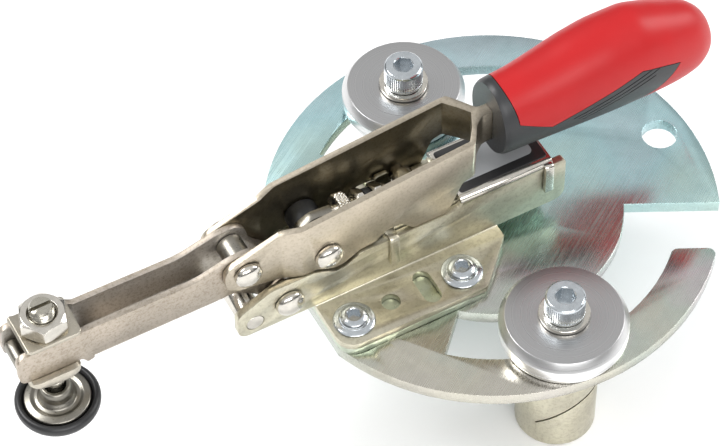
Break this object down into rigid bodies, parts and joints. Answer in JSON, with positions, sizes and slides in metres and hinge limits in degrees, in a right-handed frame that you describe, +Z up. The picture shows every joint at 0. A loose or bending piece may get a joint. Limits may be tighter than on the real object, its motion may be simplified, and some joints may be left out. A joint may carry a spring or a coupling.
{
  "type": "wheel clamp",
  "caption": "Horizontal over-centre toggle clamp on a slotted steel disc with sliding bosses and rim pins below; a rubber-footed spindle presses at the arm's end.",
  "frame": {"origin": "centre of the disc on its underside, the face that lies on the wheel", "axes": "+Z up through the disc, X along the clamp: the arm and its foot towards -X, the grip towards +X; +Y is the left side"},
  "size_m": [0.2494, 0.1509, 0.1137],
  "materials": {
    "zinc_plate": "zinc plated, slightly iridescent, with brushed marks",
    "satin_steel": "satin nickel-plated sheet",
    "bright_nickel": "bright nickel",
    "screw_steel": "bluish bright zinc",
    "turned_aluminium": "finely turned",
    "red_plastic": "satin soft-touch red",
    "black_plastic": "satin anthracite",
    "rubber": "satin black rubber",
    "label": "plain grey label with a black border, no text"
  },
  "bodies": {
    "base": {"base_disc": "zinc_plate", "clamp_side_left": "satin_steel", "clamp_side_right": "satin_steel", "spacer_plate_left": "satin_steel", "spacer_plate_right": "satin_steel", "flange_screw_front_left": "screw_steel", "flange_screw_rear_left": "screw_steel", "flange_screw_front_right": "screw_steel", "flange_screw_rear_right": "screw_steel", "arm_pivot_rivet": "bright_nickel", "arm_washer_left": "bright_nickel", "arm_washer_right": "bright_nickel", "front_spacer": "bright_nickel", "link_carrier": "satin_steel", "rear_cover": "bright_nickel", "cover_label": "label"},
    "arm": {"clamp_arm": "satin_steel", "arm_bush": "bright_nickel", "saddle_washer_upper": "bright_nickel", "saddle_washer_lower": "bright_nickel", "arm_end_pin": "bright_nickel", "spindle_nut": "bright_nickel"},
    "spindle": {"spindle": "bright_nickel"},
    "foot": {"foot_disc": "bright_nickel", "foot_rubber": "rubber"},
    "handle": {"handle_strap": "satin_steel", "handle_rivet_front": "bright_nickel", "handle_rivet_rear": "bright_nickel", "grip_core": "black_plastic", "grip_overmould": "red_plastic"},
    "link": {"link_eye": "bright_nickel", "link_trunnion": "bright_nickel", "link_roller_left": "black_plastic", "link_roller_right": "black_plastic", "lock_nut": "bright_nickel", "link_sleeve": "black_plastic", "stop_nut": "bright_nickel"},
    "adjuster": {"knurled_nut": "bright_nickel"},
    "boss_left": {"boss_cap_left": "turned_aluminium", "boss_washer_left": "bright_nickel", "boss_screw_left": "screw_steel"},
    "pin_left": {"rim_pin_left": "satin_steel"},
    "boss_right": {"boss_cap_right": "turned_aluminium", "boss_washer_right": "bright_nickel", "boss_screw_right": "screw_steel"},
    "pin_right": {"rim_pin_right": "satin_steel"}
  },
  "joints": [
    {"name": "arm_pivot", "type": "hinge", "parent": "base", "child": "arm", "pos_m": [-0.08, 0, 0.019], "axis": [0, 1, 0], "range_deg": [0, 72]},
    {"name": "handle_pivot", "type": "hinge", "parent": "arm", "child": "handle", "pos_m": [-0.0923, 0, 0.0385], "axis": [0, -1, 0], "range_deg": [0, 144]},
    {"name": "link_pivot", "type": "hinge", "parent": "handle", "child": "link", "pos_m": [-0.0654, 0, 0.0333], "axis": [0, 1, 0], "range_deg": [0, 124.2]},
    {"name": "adjuster_spin", "type": "hinge", "parent": "link", "child": "adjuster", "pos_m": [-0.031, 0, 0.034], "axis": [0.9954, 0, -0.0958], "continuous": true},
    {"name": "spindle_adjust", "type": "slide", "parent": "arm", "child": "spindle", "axis": [0, 0, 1], "range_m": [-0.008, 0.006]},
    {"name": "foot_swivel", "type": "hinge", "parent": "spindle", "child": "foot", "pos_m": [-0.1563, 0, 0.0094], "axis": [0, 1, 0], "range_deg": [-10, 10]},
    {"name": "boss_left_travel", "type": "hinge", "parent": "base", "child": "boss_left", "pos_m": [0, 0, 0], "axis": [0, 0, 1], "range_deg": [-58, 8]},
    {"name": "boss_right_travel", "type": "hinge", "parent": "base", "child": "boss_right", "pos_m": [0, 0, 0], "axis": [0, 0, 1], "range_deg": [-8, 58]},
    {"name": "pin_left_turn", "type": "hinge", "parent": "boss_left", "child": "pin_left", "pos_m": [-0.00368, 0.05267, 0], "axis": [0, 0, 1], "continuous": true},
    {"name": "pin_right_turn", "type": "hinge", "parent": "boss_right", "child": "pin_right", "pos_m": [-0.00541, -0.05514, 0], "axis": [0, 0, 1], "continuous": true}
  ],
  "couplings": [
    {"joint": "handle_pivot", "follows": "arm_pivot", "ratio": 2},
    {"joint": "link_pivot", "follows": "arm_pivot", "ratio": 1.725}
  ]
}
